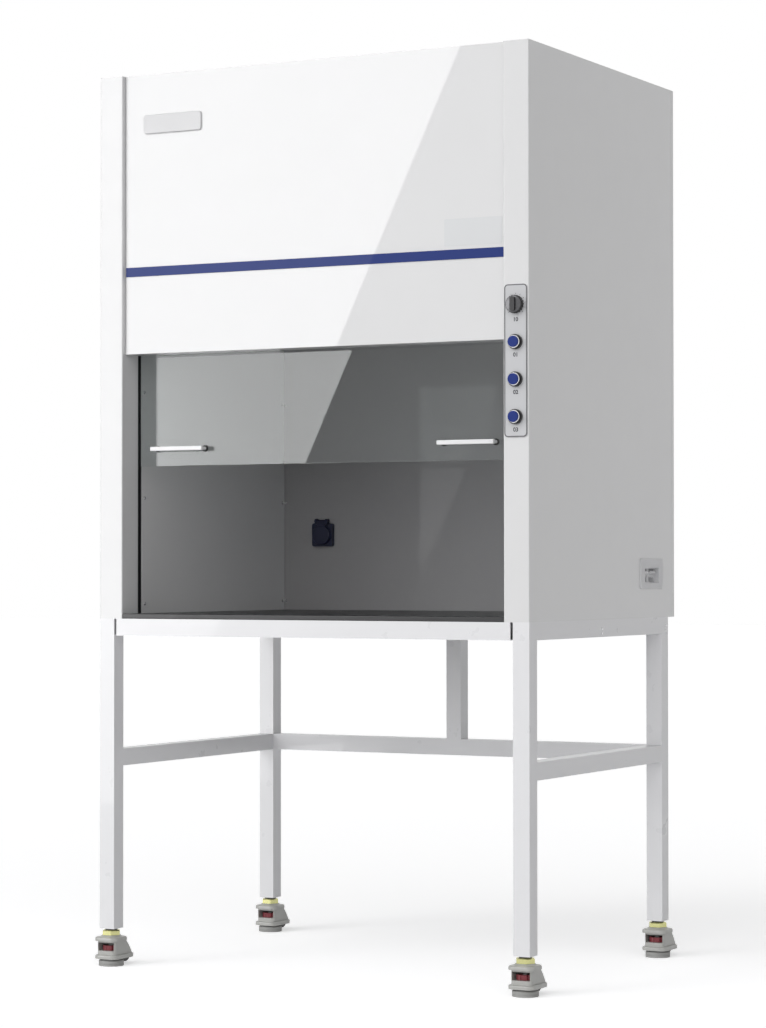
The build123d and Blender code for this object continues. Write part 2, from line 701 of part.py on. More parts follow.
def control_bodies():
    """The knob's potentiometer and the three button bodies with their collars."""
    face = FRONT - PLATE_T
    heights = control_heights()
    behind = (face, face + BARREL_L)
    dial = rod_y(BARREL_R, CONTROL_X, behind, heights[0])
    dial += rod_y(COLLAR_NECK_R, CONTROL_X, (FRONT + SHEET, face + BARREL_L), heights[0])
    dial -= rod_y(STEM_R / 2 + FIT_GAP, CONTROL_X, (face - 1, face + BARREL_L / 2), heights[0])
    bodies = [dial]
    for z in heights[1:]:
        collar = rod_y(COLLAR_R, CONTROL_X, (face - COLLAR_H / 2, face), z)
        collar += rod_y(COLLAR_NECK_R, CONTROL_X, (face - COLLAR_H, face), z)
        collar = chamfer(collar.edges().filter_by(GeomType.CIRCLE).group_by(Axis.Y)[0], 1)
        collar += rod_y(BARREL_R, CONTROL_X, (face - 1, face + BARREL_L), z)
        half = CONTACT_BLOCK / 2
        collar += block((CONTROL_X - half, CONTROL_X + half),
                        (FRONT + SHEET, FRONT + SHEET + CONTACT_BLOCK), (z - half, z + half))
        collar -= rod_y(BUTTON_R + FIT_GAP, CONTROL_X, (face - COLLAR_H - 1, face - 1), z)
        collar -= rod_y(STEM_R + FIT_GAP, CONTROL_X, (face - 2, face + BARREL_L / 2), z)
        bodies.append(collar)
    return group(*bodies)


def speed_knob():
    """A round knob with a raised grip bar, on its spindle."""
    z = control_heights()[0]
    face = FRONT - PLATE_T
    crown = face - KNOB_H
    knob = rod_y(KNOB_R, CONTROL_X, (crown, face - SWIVEL_GAP), z)
    knob = chamfer(knob.edges().filter_by(GeomType.CIRCLE).group_by(Axis.Y)[0], KNOB_R / 8)
    for turn in range(0, 360, 20):
        angle = math.radians(turn + 10)
        x = CONTROL_X + KNOB_R * math.cos(angle)
        knob -= rod_y(KNOB_R / 12, x, (crown - 1, face), z + KNOB_R * math.sin(angle))
    grip = block((CONTROL_X - KNOB_GRIP_W / 2, CONTROL_X + KNOB_GRIP_W / 2),
                 (crown - KNOB_GRIP_H, crown + 1), (z - KNOB_R * 0.8, z + KNOB_R * 0.8))
    grip = fillet(grip.edges().filter_by(Axis.Y), KNOB_GRIP_W / 2.5)
    spindle = rod_y(STEM_R / 2, CONTROL_X, (crown + 1, face + BARREL_L / 2 - 1), z)
    return knob + grip + spindle


def button(place):
    """A push button's cap and stem, free to travel into its collar."""
    z = control_heights()[place]
    face = FRONT - PLATE_T
    crown = face - COLLAR_H - BUTTON_PROUD
    cap = rod_y(BUTTON_R, CONTROL_X, (crown, face - BUTTON_TRAVEL - 2), z)
    cap = fillet(cap.edges().filter_by(GeomType.CIRCLE).group_by(Axis.Y)[0], BUTTON_R / 10)
    return cap + rod_y(STEM_R, CONTROL_X, (crown + 1, face + BARREL_L / 2 - BUTTON_TRAVEL - 1), z)


# Isolator


def isolator_z():
    """The isolator's middle height."""
    return BASE + ISOLATOR_Z


def window_z():
    """The middle height of the isolator's window."""
    return isolator_z() - WINDOW_DROP


def isolator_box():
    """A flanged moulded box with a recessed window and a switch body behind it."""
    outer_x = HALF_W + ISOLATOR_PROUD
    bezel = Plane.YZ * RectangleRounded(ISOLATOR_W, ISOLATOR_H, ISOLATOR_RIM)
    frame = Pos(HALF_W, ISOLATOR_Y, isolator_z()) * extrude(bezel, ISOLATOR_PROUD)
    frame = chamfer(frame.edges().group_by(Axis.X)[-1], ISOLATOR_PROUD / 3)
    inset = 2 * ISOLATOR_RIM + 2 * FIT_GAP
    back = HALF_W - ISOLATOR_DEPTH
    frame += block((back, HALF_W),
                   (ISOLATOR_Y - (ISOLATOR_W - inset) / 2, ISOLATOR_Y + (ISOLATOR_W - inset) / 2),
                   (isolator_z() - (ISOLATOR_H - inset) / 2, isolator_z() + (ISOLATOR_H - inset) / 2))
    frame -= block((outer_x - WINDOW_DEPTH, outer_x + 1),
                   (ISOLATOR_Y - WINDOW_W / 2, ISOLATOR_Y + WINDOW_W / 2),
                   (window_z() - WINDOW_H / 2, window_z() + WINDOW_H / 2))
    floor = outer_x - WINDOW_DEPTH
    half = TOGGLE_W / 2 + 2 * LID_GAP
    for side in (-1, 1):
        y = ISOLATOR_Y + side * WINDOW_W / 4
        frame -= block((floor - TOGGLE_L, floor + 1), (y - half, y + half),
                       (window_z() - TOGGLE_L, window_z() + TOGGLE_L))
    reach = WINDOW_W / 2 + ISOLATOR_RIM
    pin = (ISOLATOR_Y - reach, ISOLATOR_Y + reach)
    frame -= rod_y(TOGGLE_PIN_R + FIT_GAP, floor - TOGGLE_L / 2, pin, window_z())
    return frame


def breaker_toggle():
    """Two linked levers on one pin, thrown up."""
    floor = HALF_W + ISOLATOR_PROUD - WINDOW_DEPTH
    reach = WINDOW_W / 2 + ISOLATOR_RIM - 1
    levers = rod_y(TOGGLE_PIN_R, 0, (-reach, reach), 0)
    for side in (-1, 1):
        y = side * WINDOW_W / 4
        width = (y - TOGGLE_W / 2, y + TOGGLE_W / 2)
        tip = block((0, TOGGLE_L), width, (-TOGGLE_T / 2, TOGGLE_T / 2))
        levers += rod_y(TOGGLE_T, 0, width, 0)
        levers += fillet(tip.edges().filter_by(Axis.Y).group_by(Axis.X)[-1], TOGGLE_T / 3)
    return Pos(floor - TOGGLE_L / 2, ISOLATOR_Y, window_z()) * Rot(0, -TOGGLE_THROW, 0) * levers


# Socket


def socket_z():
    """The socket's middle height."""
    return WORKTOP_TOP + SOCKET_Z


def socket_base():
    """The socket's square plate with a round well and two hinge ears."""
    y = REAR_LINER_Y
    base = Pos(SOCKET_X, y, socket_z()) * rounded_plate(SOCKET_W, SOCKET_W, SOCKET_T, SOCKET_W / 10)
    base -= rod_y(SOCKET_WELL_R, SOCKET_X, (y - SOCKET_T - 1, y - SOCKET_T / 2), socket_z())
    hinge_z = socket_z() + LID_HINGE_UP
    hinge_y = y - SOCKET_T - LID_PIN_R
    ear = block((SOCKET_X + SOCKET_LID_R / 2, SOCKET_X + SOCKET_LID_R / 2 + 2 * LID_PIN_R),
                (hinge_y - LID_PIN_R - 1, y - SOCKET_T / 2), (socket_z() + SOCKET_W / 2 - LID_PIN_R, hinge_z + 2 * LID_PIN_R))
    ear = fillet(ear.edges().filter_by(Axis.X).group_by(Axis.Z)[-1], LID_PIN_R)
    other = Pos(2 * SOCKET_X, 0, 0) * mirrored(ear)
    base += ear
    base += other
    rear_box = SOCKET_W / 4 - LID_GAP
    base += block((SOCKET_X - rear_box, SOCKET_X + rear_box), (y - 1, y + LINER_T + 4 * SOCKET_T / 3),
                  (socket_z() - rear_box, socket_z() + rear_box))
    reach = SOCKET_LID_R / 2 + 3 * LID_PIN_R
    pin = (SOCKET_X - reach, SOCKET_X + reach)
    return base + rod_x(LID_PIN_R / 2, pin, hinge_y, hinge_z)


def socket_lid():
    """The hinged round lid with its barrel round the hinge pin."""
    y = REAR_LINER_Y - SOCKET_T
    hinge_z = socket_z() + LID_HINGE_UP
    hinge_y = y - LID_PIN_R
    lid = rod_y(SOCKET_LID_R, SOCKET_X, (y - LID_GAP - SOCKET_LID_T, y - LID_GAP), socket_z())
    lid = fillet(lid.edges().filter_by(GeomType.CIRCLE).group_by(Axis.Y)[0], SOCKET_LID_T / 3)
    half = SOCKET_LID_R / 2 - LID_GAP
    width = (SOCKET_X - half, SOCKET_X + half)
    lid += block(width, (y - LID_GAP - SOCKET_LID_T / 2, y - LID_GAP), (socket_z(), hinge_z - LID_PIN_R / 2))
    lid += rod_x(LID_PIN_R, width, hinge_y, hinge_z)
    return lid - rod_x(LID_PIN_R / 2 + FIT_GAP, (width[0] - 1, width[1] + 1), hinge_y, hinge_z)


# Stand


def tube_z(x, y, z):
    """A square tube upright centred on (x, y)."""
    half = STAND_TUBE / 2
    inner = half - TUBE_WALL
    post = block((x - half, x + half), (y - half, y + half), z)
    return post - block((x - inner, x + inner), (y - inner, y + inner), (z[0] - 1, z[1] + 1))


def tube_x(x, y, top):
    """A square tube along X, given its top height."""
    half = STAND_TUBE / 2
    inner = half - TUBE_WALL
    middle = top - half
    rail = block(x, (y - half, y + half), (middle - half, middle + half))
    return rail - block((x[0] - 1, x[1] + 1), (y - inner, y + inner), (middle - inner, middle + inner))


def tube_y(x, y, top):
    """A square tube along Y, given its top height."""
    half = STAND_TUBE / 2
    inner = half - TUBE_WALL
    middle = top - half
    rail = block((x - half, x + half), y, (middle - half, middle + half))
    return rail - block((x - inner, x + inner), (y[0] - 1, y[1] + 1), (middle - inner, middle + inner))


def leg_places():
    """The four legs' names and middles."""
    return (
        ("front_left", -LEG_X, LEG_FRONT_Y),
        ("front_right", LEG_X, LEG_FRONT_Y),
        ("rear_left", -LEG_X, LEG_REAR_Y),
        ("rear_right", LEG_X, LEG_REAR_Y),
    )


def stand_legs():
    """Four uprights, each with a plug at its foot for the caster's stem."""
    legs = []
    half = STAND_TUBE / 2
    for name, x, y in leg_places():
        leg = tube_z(x, y, (CASTER_H, STAND_H))
        plug = block((x - half, x + half), (y - half, y + half), (CASTER_H, CASTER_H + LEG_PLUG_T))
        leg += plug
        legs.append(leg - rod_z(STEM_R, x, y, (CASTER_H - 1, CASTER_H + LEG_PLUG_T + 1)))
    return group(*legs)


def stand_front_rail():
    """The rail under the front of the hood, rebated where it meets the legs."""
    half = STAND_TUBE / 2
    ends = (-LEG_X + half, LEG_X - half)
    rail = tube_x(ends, LEG_FRONT_Y, STAND_H)
    for x in ((ends[0] - 1, ends[0] + RAIL_REBATE_W), (ends[1] - RAIL_REBATE_W, ends[1] + 1)):
        rail -= block(x, (FRONT - 1, FRONT + RAIL_REBATE_D), (STAND_H - STAND_TUBE - 1, STAND_H + 1))
    return rail


def stand_side_rails():
    """The top and middle rails of both ends."""
    half = STAND_TUBE / 2
    run = (LEG_FRONT_Y + half, LEG_REAR_Y - half)
    rails = []
    for x in (-LEG_X, LEG_X):
        for top in (STAND_H, MID_RAIL_TOP):
            rails.append(tube_y(x, run, top))
    return group(*rails)


def stand_rear_frame():
    """The rear top rail, the rear middle rail and the strut between them."""
    half = STAND_TUBE / 2
    run = (-LEG_X + half, LEG_X - half)
    rails = [tube_x(run, LEG_REAR_Y, top) for top in (STAND_H, MID_RAIL_TOP)]
    strut = tube_z(0, LEG_REAR_Y, (MID_RAIL_TOP, STAND_H - STAND_TUBE))
    return group(*rails, strut)


# Casters


def caster_stems():
    """Each caster's stem, lock nut, zinc-plated hexagon and kingpin."""
    stems = []
    for name, x, y in leg_places():
        hexagon = Pos(x, y, NUT_BOTTOM) * extrude(
            RegularPolygon(HEX_FLATS / 2, 6, major_radius=False), HEX_H)
        hexagon = chamfer(hexagon.edges().group_by(Axis.Z)[-1], HEX_H / 6)
        stem = hexagon + rod_z(LOCKNUT_R, x, y, (NUT_BOTTOM + HEX_H, CASTER_H))
        stem += rod_z(STEM_R, x, y, (CASTER_H - 1, CASTER_H + LEG_PLUG_T))
        stem += rod_z(PIN_R, x, y, (NUT_BOTTOM - KINGPIN_L, NUT_BOTTOM + 1))
        stems.append(stem)
    return group(*stems)


def rounded_block(width, y, z, radius):
    """A block about X = 0 with round upright corners."""
    depth = y[1] - y[0]
    plan = Pos(0, (y[0] + y[1]) / 2, z[0]) * RectangleRounded(width, depth, radius)
    return extrude(plan, z[1] - z[0])


def caster_housing():
    """The cast body about its own leg axis: crown, waist, skirt, slot, wheel well and axle."""
    top = NUT_BOTTOM - SWIVEL_GAP
    wide = CASTER_W + 2 * FLANGE_OUT
    crown_y = (-CASTER_FRONT - FLANGE_OUT, CASTER_CROWN_BACK + FLANGE_OUT)
    crown = rounded_block(wide, crown_y, (CROWN_BOTTOM, CROWN_BOTTOM + CROWN_T), CASTER_W / 3)
    crown = fillet(crown.edges().group_by(Axis.Z)[-1], CROWN_T / 2)
    ridge = CASTER_CROWN_BACK + CASTER_SLOPE
    profile = Plane.YZ * Polygon(
        (-CASTER_FRONT, SKIRT_BOTTOM),
        (-CASTER_FRONT, CROWN_BOTTOM + 1),
        (CASTER_CROWN_BACK, CROWN_BOTTOM + 1),
        (ridge, CROWN_BOTTOM - CASTER_SLOPE),
        (CASTER_BACK, SKIRT_BOTTOM + SKIRT_T),
        (CASTER_BACK, SKIRT_BOTTOM),
        align=None,
    )
    waist = extrude(profile, CASTER_W / 2, both=True)
    waist = fillet(waist.edges().filter_by(Axis.Z).group_by(Axis.Y)[0], CASTER_W / 5)
    skirt = rounded_block(wide, (-CASTER_FRONT - FLANGE_OUT, CASTER_BACK + FLANGE_OUT),
                          (SKIRT_BOTTOM, SKIRT_BOTTOM + SKIRT_T), CASTER_W / 3)
    skirt = fillet(skirt.edges().group_by(Axis.Z)[-1], SKIRT_T / 2.5)
    cone_h = top - CROWN_BOTTOM - CROWN_T + 1
    neck = Pos(0, 0, top - cone_h / 2) * Cone(CASTER_W / 2 + 2, HEX_FLATS / 2 + 2, cone_h)
    body = crown + waist + skirt + neck
    body -= rod_z(PAD_R + 1, 0, 0, (SKIRT_BOTTOM - 1, PAD_H + PAD_TRAVEL + 1))
    slot_half = SLOT_W / 2
    slot = block((-slot_half, slot_half), (-CASTER_FRONT - 1, 0), (SLOT_BOTTOM, SLOT_TOP))
    slot += rod_z(slot_half, 0, 0, (SLOT_BOTTOM, SLOT_TOP))
    body -= slot
    body -= rod_z(SPINDLE_R + FIT_GAP, 0, 0, (SKIRT_BOTTOM - 1, SLOT_BOTTOM + 1))
    body -= rod_z(SPINDLE_R + 1, 0, 0, (SLOT_TOP - 1, CROWN_BOTTOM + 1))
    body -= rod_z(PIN_R + FIT_GAP, 0, 0, (top - 2 * PIN_R, top + 1))
    well_half = CASTER_WHEEL_W / 2 + WHEEL_SIDE_GAP
    axle_z = CASTER_WHEEL_R + CASTER_WHEEL_LIFT
    well = block((-well_half, well_half), (CASTER_TRAIL - CASTER_WHEEL_R - 2, CASTER_BACK + CASTER_W),
                 (SKIRT_BOTTOM - 1, CROWN_BOTTOM))
    body -= well
    axle_half = CASTER_W / 2 + 1
    return body + rod_x(AXLE_R, (-axle_half, axle_half), CASTER_TRAIL, axle_z)


def caster_wheel():
    """The wheel with round shoulders, bored for its axle."""
    axle_z = CASTER_WHEEL_R + CASTER_WHEEL_LIFT
    half = CASTER_WHEEL_W / 2
    wheel = rod_x(CASTER_WHEEL_R, (-half, half), CASTER_TRAIL, axle_z)
    wheel = fillet(wheel.edges().filter_by(GeomType.CIRCLE), CASTER_WHEEL_R / 6)
    return wheel - rod_x(AXLE_R + FIT_GAP, (-half - 1, half + 1), CASTER_TRAIL, axle_z)


def caster_thumbwheel():
    """The lobed wheel in the slot that drives the levelling spindle."""
    low = SLOT_BOTTOM + SWIVEL_GAP
    wheel = rod_z(THUMB_R, 0, 0, (low, low + THUMB_H))
    for turn in range(0, 360, 45):
        angle = math.radians(turn)
        x = THUMB_R * 1.04 * math.cos(angle)
        wheel -= rod_z(THUMB_R / 6, x, THUMB_R * 1.04 * math.sin(angle), (low - 1, low + THUMB_H + 1))
    return wheel - rod_z(SPINDLE_R + FIT_GAP, 0, 0, (low - 1, low + THUMB_H + 1))


def caster_pad():
    """The levelling foot: a round pad, its rubber sole's step and its spindle."""
    pad = rod_z(PAD_R, 0, 0, (0, PAD_H))
    pad = chamfer(pad.edges().group_by(Axis.Z)[-1], PAD_H / 6)
    groove = rod_z(PAD_R + 1, 0, 0, (PAD_H / 3, PAD_H / 3 + 1)) - rod_z(PAD_R - 1, 0, 0, (0, PAD_H))
    top = SLOT_BOTTOM + SWIVEL_GAP + THUMB_H + SPINDLE_ABOVE
    return pad - groove + rod_z(SPINDLE_R, 0, 0, (PAD_H - 1, top))


def build():
    """Every node's name and shape."""
    nodes = {
        "left_side_panel": mirrored(side_panel()),
        "right_side_panel": right_side_panel(),
        "rear_panel": rear_panel(),
        "roof_panel": roof_panel(),
        "front_fascia": front_fascia(),
        "blue_trim_strip": blue_trim_strip(),
        "work_surface": work_surface(),
        "left_liner": mirrored(side_liner()),
        "right_liner": side_liner(),
        "rear_liner": rear_liner(),
        "ceiling_liner": ceiling_liner(),
        "sash_guides": sash_guides(),
        "sash_glass": sash_glass(),
        "sash_handles": sash_handles(),
        "sash_clamp_rail": sash_clamp_rail(),
        "left_sash_pulley": mirrored(sash_pulley()),
        "right_sash_pulley": sash_pulley(),
        "pulley_brackets": group(pulley_bracket(), mirrored(pulley_bracket())),
        "counterweights": counterweights(),
        "sash_side_cables": sash_side_cables(),
        "weight_side_cables": weight_side_cables(),
        "lamp": lamp(),
        "blower_scroll": blower_scroll(),
        "suction_box": suction_box(),
        "blower_motor": blower_motor(),
        "blower_wheel": blower_wheel(),
        "exhaust_spigot": exhaust_spigot(),
        "control_plate": control_plate(),
        "control_bodies": control_bodies(),
        "speed_knob": speed_knob(),
        "top_button": button(1),
        "middle_button": button(2),
        "bottom_button": button(3),
        "isolator_box": isolator_box(),
        "breaker_toggle": breaker_toggle(),
        "socket_base": socket_base(),
        "socket_lid": socket_lid(),
        "stand_legs": stand_legs(),
        "stand_front_rail": stand_front_rail(),
        "stand_side_rails": stand_side_rails(),
        "stand_rear_frame": stand_rear_frame(),
        "caster_stems": caster_stems(),
    }
    makers = (
        ("caster_housing", caster_housing),
        ("caster_wheel", caster_wheel),
        ("caster_thumbwheel", caster_thumbwheel),
        ("caster_pad", caster_pad),
    )
    for kind, maker in makers:
        shape = maker()
        for corner, x, y in leg_places():
            nodes[f"{corner}_{kind}"] = Pos(x, y, 0) * shape
    return nodes


os.makedirs("parts", exist_ok=True)
for node, shape in build().items():
    export_step(shape, f"parts/{node}.step")
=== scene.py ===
import bmesh
import bpy
import math
from mathutils import Matrix, Vector


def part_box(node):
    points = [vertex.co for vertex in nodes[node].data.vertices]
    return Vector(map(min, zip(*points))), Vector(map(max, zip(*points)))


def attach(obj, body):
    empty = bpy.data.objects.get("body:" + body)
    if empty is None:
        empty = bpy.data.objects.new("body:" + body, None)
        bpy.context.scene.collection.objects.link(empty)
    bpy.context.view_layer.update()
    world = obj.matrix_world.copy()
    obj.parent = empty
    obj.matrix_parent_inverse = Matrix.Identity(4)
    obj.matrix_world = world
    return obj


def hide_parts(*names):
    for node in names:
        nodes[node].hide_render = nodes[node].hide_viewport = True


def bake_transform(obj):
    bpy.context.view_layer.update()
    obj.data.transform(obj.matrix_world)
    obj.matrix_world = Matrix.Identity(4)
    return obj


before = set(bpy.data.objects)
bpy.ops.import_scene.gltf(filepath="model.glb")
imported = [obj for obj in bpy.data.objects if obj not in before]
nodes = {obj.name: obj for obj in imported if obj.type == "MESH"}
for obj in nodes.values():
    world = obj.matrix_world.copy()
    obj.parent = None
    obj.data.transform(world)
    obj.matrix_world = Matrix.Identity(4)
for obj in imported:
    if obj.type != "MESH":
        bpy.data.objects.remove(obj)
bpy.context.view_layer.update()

# Places read from the frame, in metres
panel_lo, panel_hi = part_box("right_side_panel")
plate_lo, plate_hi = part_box("control_plate")
knob_lo, knob_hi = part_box("speed_knob")
fascia_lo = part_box("front_fascia")[0]
glass_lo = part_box("sash_glass")[0]
rear_liner_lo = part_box("rear_liner")[0]
left_liner_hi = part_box("left_liner")[1]
right_liner_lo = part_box("right_liner")[0]
FRONT = panel_lo.y
HALF_W = panel_hi.x
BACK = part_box("rear_panel")[1].y

ACROSS = Vector((1, 0, 0))
UP = Vector((0, 0, 1))
TO_FRONT = Vector((0, -1, 0))
TO_BACK = Vector((0, 1, 0))


# Camera, solved from the edges of the casing in the photograph
IMAGE_W = 766
IMAGE_H = 1028
CAMERA_PLACE = Vector((3.5012, FRONT - 6.1673, 0.988))
CAMERA_YAW = math.radians(28.1039)
CAMERA_PITCH = math.radians(0.9987)
CAMERA_ROLL = math.radians(-0.0309)
FOCAL_PIXELS = 2971.7
SENSOR = 36.0


def camera_axes():
    """The camera's right, up and forward directions."""
    forward = Vector((
        -math.sin(CAMERA_YAW) * math.cos(CAMERA_PITCH),
        math.cos(CAMERA_YAW) * math.cos(CAMERA_PITCH),
        math.sin(CAMERA_PITCH),
    ))
    level = Vector((math.cos(CAMERA_YAW), math.sin(CAMERA_YAW), 0))
    upright = level.cross(forward)
    right = level * math.cos(CAMERA_ROLL) + upright * math.sin(CAMERA_ROLL)
    return right, right.cross(forward), forward


def make_camera():
    """The photograph's viewpoint."""
    data = bpy.data.cameras.new("camera")
    data.sensor_fit = "AUTO"
    data.sensor_width = SENSOR
    data.lens = SENSOR * FOCAL_PIXELS / IMAGE_H
    camera = bpy.data.objects.new("camera", data)
    bpy.context.scene.collection.objects.link(camera)
    right, up, forward = camera_axes()
    turn = Matrix((right, up, -forward)).transposed().to_4x4()
    camera.matrix_world = Matrix.Translation(CAMERA_PLACE) @ turn
    bpy.context.scene.camera = camera


def mirror_ray(x, y, plane_y, card_y):
    """Where a pixel's line of sight lands on y = card_y after the plane y = plane_y mirrors it."""
    right, up, forward = camera_axes()
    ray = forward * FOCAL_PIXELS + right * (x - IMAGE_W / 2) - up * (y - IMAGE_H / 2)
    hit = CAMERA_PLACE + ray * ((plane_y - CAMERA_PLACE.y) / ray.y)
    bounced = Vector((ray.x, -ray.y, ray.z))
    return hit + bounced * ((card_y - plane_y) / bounced.y)


# Node trees


# The part of its range that a noise texture mostly fills
NOISE_RANGE = (0.3, 0.7)


class Nodes:
    """A node tree with short calls for adding and linking nodes."""

    def __init__(self, tree):
        self.tree = tree

    def add(self, kind, **values):
        node = self.tree.nodes.new(kind)
        for key, value in values.items():
            setattr(node, key, value)
        return node

    def link(self, source, target):
        self.tree.links.new(source, target)

    def feed(self, value, socket):
        """Links a socket, or sets a plain number or colour."""
        if hasattr(value, "is_output"):
            self.link(value, socket)
        else:
            socket.default_value = value

    def math(self, operation, first, second):
        node = self.add("ShaderNodeMath", operation=operation)
        self.feed(first, node.inputs[0])
        self.feed(second, node.inputs[1])
        return node.outputs[0]

    def mix_colour(self, factor, first, second):
        node = self.add("ShaderNodeMix", data_type="RGBA")
        self.feed(factor, node.inputs["Factor"])
        for value, socket in ((first, node.inputs["A"]), (second, node.inputs["B"])):
            self.feed(value if hasattr(value, "is_output") else (*value, 1.0), socket)
        return node.outputs["Result"]

    def clouded(self, factor, colour, vary):
        """A colour that a factor moves between a little darker and a little lighter."""
        return self.mix_colour(factor, shade(colour, -vary), shade(colour, vary))

    def place(self, stretch=(1, 1, 1)):
        """The point on the piece, stretched."""
        coordinates = self.add("ShaderNodeTexCoord")
        mapping = self.add("ShaderNodeMapping")
        mapping.inputs["Scale"].default_value = stretch
        self.link(coordinates.outputs["Object"], mapping.inputs["Vector"])
        return mapping.outputs["Vector"]

    def noise(self, scale, stretch=(1, 1, 1), detail=3.0, rough=0.55):
        node = self.add("ShaderNodeTexNoise")
        node.inputs["Scale"].default_value = scale
        node.inputs["Detail"].default_value = detail
        node.inputs["Roughness"].default_value = rough
        self.link(self.place(stretch), node.inputs["Vector"])
        return node.outputs["Fac"]

    def ranged(self, value, low, high, span=NOISE_RANGE):
        """A value's span moved to low and high."""
        node = self.add("ShaderNodeMapRange")
        self.link(value, node.inputs["Value"])
        node.inputs["From Min"].default_value, node.inputs["From Max"].default_value = span
        self.feed(low, node.inputs["To Min"])
        self.feed(high, node.inputs["To Max"])
        return node.outputs["Result"]

    def beyond(self, axis, limit):
        """1 where the object's coordinate on an axis is above a limit, else 0."""
        split = self.add("ShaderNodeSeparateXYZ")
        self.link(self.place(), split.inputs[0])
        return self.math("GREATER_THAN", split.outputs["XYZ".index(axis)], limit)

    def looked_at(self):
        """1 for camera rays, mirrored rays and rays through glass, and 0 for diffuse light."""
        path = self.add("ShaderNodeLightPath")
        seen = self.math("MAXIMUM", path.outputs["Is Camera Ray"], path.outputs["Is Glossy Ray"])
        return self.math("MAXIMUM", seen, path.outputs["Is Transmission Ray"])


class Finish(Nodes):
    """A material's node tree."""

    def __init__(self, name):
        self.material = bpy.data.materials.new(name)
        self.material.use_nodes = True
        super().__init__(self.material.node_tree)
        self.shader = self.tree.nodes["Principled BSDF"]
        self.output = self.tree.nodes["Material Output"]

    def give(self, **values):
        """Links or sets the shader's inputs, which are named with _ for a space."""
        for name, value in values.items():
            self.feed(value, self.shader.inputs[name.replace("_", " ")])

    def bump(self, height, strength, distance):
        node = self.add("ShaderNodeBump")
        node.inputs["Strength"].default_value = strength
        node.inputs["Distance"].default_value = distance
        self.link(height, node.inputs["Height"])
        self.give(Normal=node.outputs["Normal"])


# Finishes: scales are per metre, depths in metres, and vary is a share of the colour


COAT = {"cloud_scale": 4.0, "gloss_scale": 17.0, "gloss": (0.9, 1.12), "lacquer_rough": 0.015,
        "peel_detail": 2.0, "peel_depth": 0.0004}
GRAIN = {"detail": 6.0, "rough": 0.7, "gloss": (0.8, 1.25), "bump": 0.08, "depth": 0.0003}
MOULDED = {"cloud_scale": 40.0, "vary": 0.04, "skin_scale": 700.0, "bump": 0.06, "depth": 0.0003}
DUST_SCALE = 3.0
DUST_TINTS = ((0.92, 0.95, 0.945), (0.94, 0.97, 0.965))
GLASS_IOR = 1.40
GLASS_SHADOW = (0.90, 0.93, 0.925, 1.0)
FLECK_SCALE = 420.0
FLECK_R = 0.16
RESIN_TONES = ((0.012, 0.012, 0.014), (0.03, 0.03, 0.033))
RESIN_ROUGH = (0.28, 0.40)
RESIN_SMEAR_SCALE = 30.0
RESIN_SKIN = {"scale": 300.0, "bump": 0.1, "depth": 0.0004}


def shade(colour, amount):
    """A colour made lighter or darker by a share."""
    return tuple(min(1.0, channel * (1 + amount)) for channel in colour)


def coated(name, colour, rough=0.3, vary=0.02, coat=0.0, peel=0.08, peel_scale=900.0, metal=0.0,
           sheen=0.5):
    """Paint, powder coat or moulded plastic: faint clouding, uneven gloss and a fine skin. sheen is
    the strength of its bare surface's reflections."""
    tree = Finish(name)
    low, high = COAT["gloss"]
    tree.give(
        Base_Color=tree.clouded(tree.noise(COAT["cloud_scale"]), colour, vary),
        Roughness=tree.ranged(tree.noise(COAT["gloss_scale"]), rough * low, rough * high),
        Coat_Weight=coat,
        Coat_Roughness=COAT["lacquer_rough"],
        Specular_IOR_Level=sheen,
        Metallic=metal,
    )
    tree.bump(tree.noise(peel_scale, detail=COAT["peel_detail"]), peel, COAT["peel_depth"])
    return tree.material


def brushed(name, colour, rough=0.32, stretch=(1, 1, 40), vary=0.05, scale=60.0):
    """Metal with a fine drawn or rolled grain along one direction."""
    tree = Finish(name)
    grain = tree.noise(scale, stretch, detail=GRAIN["detail"], rough=GRAIN["rough"])
    low, high = GRAIN["gloss"]
    tree.give(
        Base_Color=tree.clouded(grain, colour, vary),
        Roughness=tree.ranged(grain, rough * low, rough * high),
        Metallic=1.0,
    )
    tree.bump(grain, GRAIN["bump"], GRAIN["depth"])
    return tree.material


def two_tone_and_shade(name, axis, limit, below, above):
    """One piece in two finishes, split along an axis: two-tone paint, and on the collars painted
    shade. A finish is (colour, roughness, metallic).
    """
    tree = Finish(name)
    side = tree.beyond(axis, limit)
    cloud = tree.noise(MOULDED["cloud_scale"])
    low, high = (tree.clouded(cloud, finish[0], MOULDED["vary"]) for finish in (below, above))
    tree.give(Base_Color=tree.mix_colour(side, low, high))
    for socket, place in (("Roughness", 1), ("Metallic", 2)):
        spread = tree.math("MULTIPLY", side, above[place] - below[place])
        tree.give(**{socket: tree.math("ADD", spread, below[place])})
    tree.bump(tree.noise(MOULDED["skin_scale"]), MOULDED["bump"], MOULDED["depth"])
    return tree.material


def sash_glass():
    """Clear toughened glass with a faint tint that lets plain light through to the chamber."""
    tree = Finish("sash_glass")
    tree.give(
        Base_Color=tree.mix_colour(tree.noise(DUST_SCALE), *DUST_TINTS),
        Roughness=0.0,
        Transmission_Weight=1.0,
        IOR=GLASS_IOR,
    )
    clear = tree.add("ShaderNodeBsdfTransparent")
    clear.inputs["Color"].default_value = GLASS_SHADOW
    light = tree.add("ShaderNodeLightPath")
    mix = tree.add("ShaderNodeMixShader")
    tree.link(light.outputs["Is Shadow Ray"], mix.inputs[0])
    tree.link(tree.shader.outputs[0], mix.inputs[1])
    tree.link(clear.outputs[0], mix.inputs[2])
    tree.link(mix.outputs[0], tree.output.inputs["Surface"])
    return tree.material


